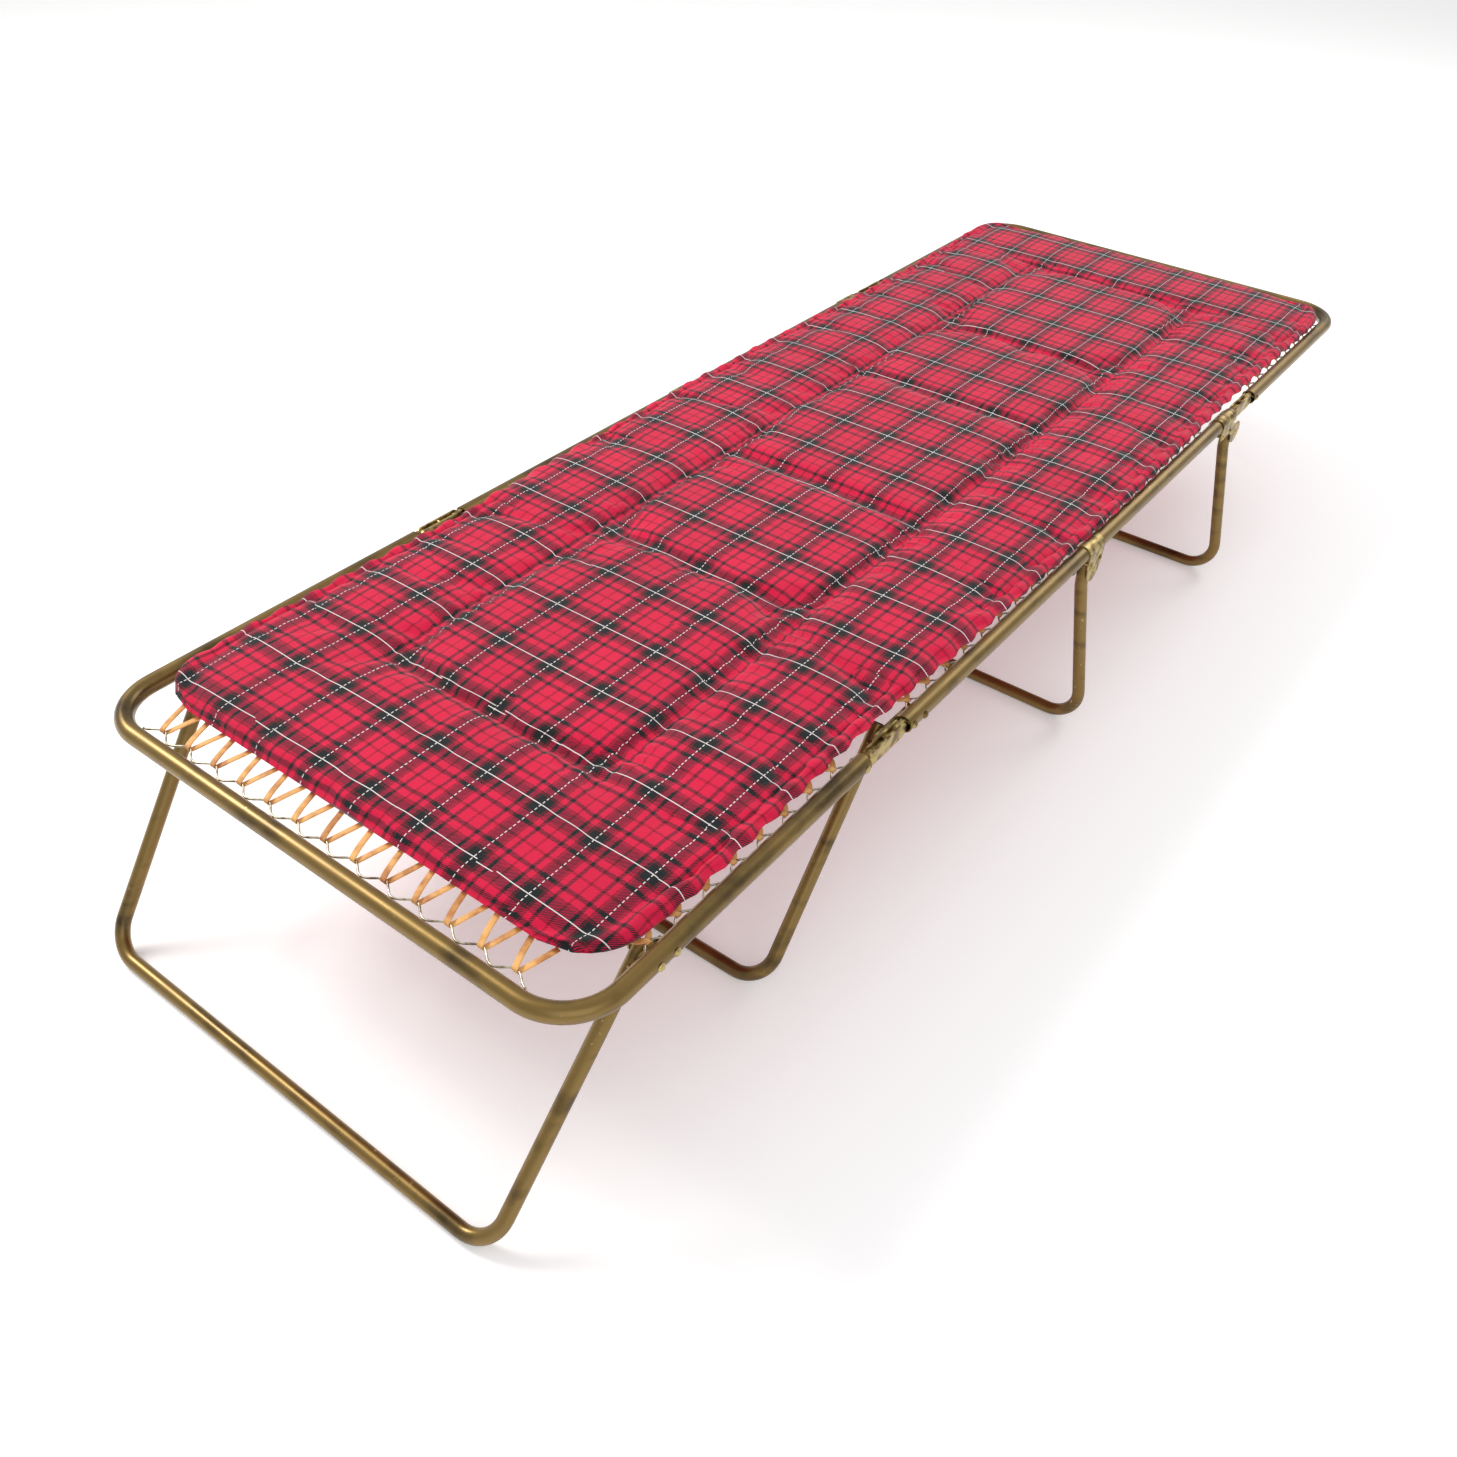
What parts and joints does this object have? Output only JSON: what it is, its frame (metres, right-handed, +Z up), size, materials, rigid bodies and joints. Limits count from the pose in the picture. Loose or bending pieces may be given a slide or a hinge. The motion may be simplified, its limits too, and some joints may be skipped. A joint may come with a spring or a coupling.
{
  "type": "folding cot",
  "caption": "Folding camp cot: a three-part tube frame on double-pivot hinges, swinging leg bows and a quilted pad laced to wavy edge wires.",
  "frame": {"origin": "on the floor, at the centre of the object's own box", "axes": "+X along the cot from the foot end, with the splayed legs, to the head end; +Y across it; +Z up"},
  "size_m": [1.974, 0.7194, 0.2862],
  "materials": {
    "tube_lacquer": "bronze lacquer, satin, worn at the bends and ends",
    "plated_steel": "dull yellow zinc plating",
    "spring_wire": "bright drawn wire",
    "pad_cloth": "woven crimson tartan, quilted",
    "rubber_strap": "matt tan rubber",
    "washer_nylon": "matt black"
  },
  "bodies": {
    "mid_frame": {"side_rail_near": "tube_lacquer", "side_rail_far": "tube_lacquer", "rail_tongues_mid": "plated_steel", "tongue_rivets_mid": "plated_steel", "leg_clamps_centre": "plated_steel", "leg_clamps_head": "plated_steel", "clamp_rivets": "plated_steel", "clamp_pins": "plated_steel", "clamp_stops": "plated_steel", "clamp_washers": "washer_nylon", "leg_plates_mid": "plated_steel", "plate_rivets_mid": "plated_steel", "plate_pins_mid": "plated_steel", "edge_wires_mid": "spring_wire", "lacing_mid": "rubber_strap", "pad_mid": "pad_cloth"},
    "foot_link": {"hinge_plates_foot": "plated_steel", "hinge_pins_foot": "plated_steel", "pad_fold_foot": "pad_cloth"},
    "foot_frame": {"foot_bow": "tube_lacquer", "tongues_foot": "plated_steel", "tongue_rivets_foot": "plated_steel", "leg_plates_foot": "plated_steel", "plate_rivets_foot": "plated_steel", "plate_pins_foot": "plated_steel", "edge_wires_foot": "spring_wire", "lacing_foot": "rubber_strap", "pad_foot": "pad_cloth"},
    "head_link": {"hinge_plates_head": "plated_steel", "hinge_pins_head": "plated_steel", "pad_fold_head": "pad_cloth"},
    "head_frame": {"head_bow": "tube_lacquer", "tongues_head": "plated_steel", "tongue_rivets_head": "plated_steel", "edge_wires_head": "spring_wire", "lacing_head": "rubber_strap", "pad_head": "pad_cloth"},
    "leg_1": {"leg_bow_1": "tube_lacquer"},
    "leg_2": {"leg_bow_2": "tube_lacquer"},
    "leg_3": {"leg_bow_3": "tube_lacquer"},
    "leg_4": {"leg_bow_4": "tube_lacquer"}
  },
  "joints": [
    {"name": "foot_link_fold", "type": "hinge", "parent": "mid_frame", "child": "foot_link", "pos_m": [-0.4065, 0, 0.262], "axis": [0, 1, 0], "range_deg": [0, 90], "deforming": ["pad_fold_foot"]},
    {"name": "foot_flap_fold", "type": "hinge", "parent": "foot_link", "child": "foot_frame", "pos_m": [-0.4595, 0, 0.262], "axis": [0, 1, 0], "range_deg": [0, 90]},
    {"name": "head_link_fold", "type": "hinge", "parent": "mid_frame", "child": "head_link", "pos_m": [0.5165, 0, 0.262], "axis": [0, -1, 0], "range_deg": [0, 90], "deforming": ["pad_fold_head"]},
    {"name": "head_flap_fold", "type": "hinge", "parent": "head_link", "child": "head_frame", "pos_m": [0.5695, 0, 0.262], "axis": [0, -1, 0], "range_deg": [0, 90]},
    {"name": "leg_1_swing", "type": "hinge", "parent": "foot_frame", "child": "leg_1", "pos_m": [-0.787, 0, 0.253], "axis": [0, -1, 0], "range_deg": [0, 128]},
    {"name": "leg_2_swing", "type": "hinge", "parent": "mid_frame", "child": "leg_2", "pos_m": [-0.4115, 0, 0.253], "axis": [0, -1, 0], "range_deg": [0, 125.5]},
    {"name": "leg_3_swing", "type": "hinge", "parent": "mid_frame", "child": "leg_3", "pos_m": [0.041, 0, 0.235], "axis": [0, 1, 0], "range_deg": [0, 90]},
    {"name": "leg_4_swing", "type": "hinge", "parent": "mid_frame", "child": "leg_4", "pos_m": [0.5165, 0, 0.235], "axis": [0, 1, 0], "range_deg": [0, 90]}
  ],
  "couplings": [
    {"joint": "foot_flap_fold", "follows": "foot_link_fold", "ratio": 1},
    {"joint": "head_flap_fold", "follows": "head_link_fold", "ratio": 1}
  ]
}
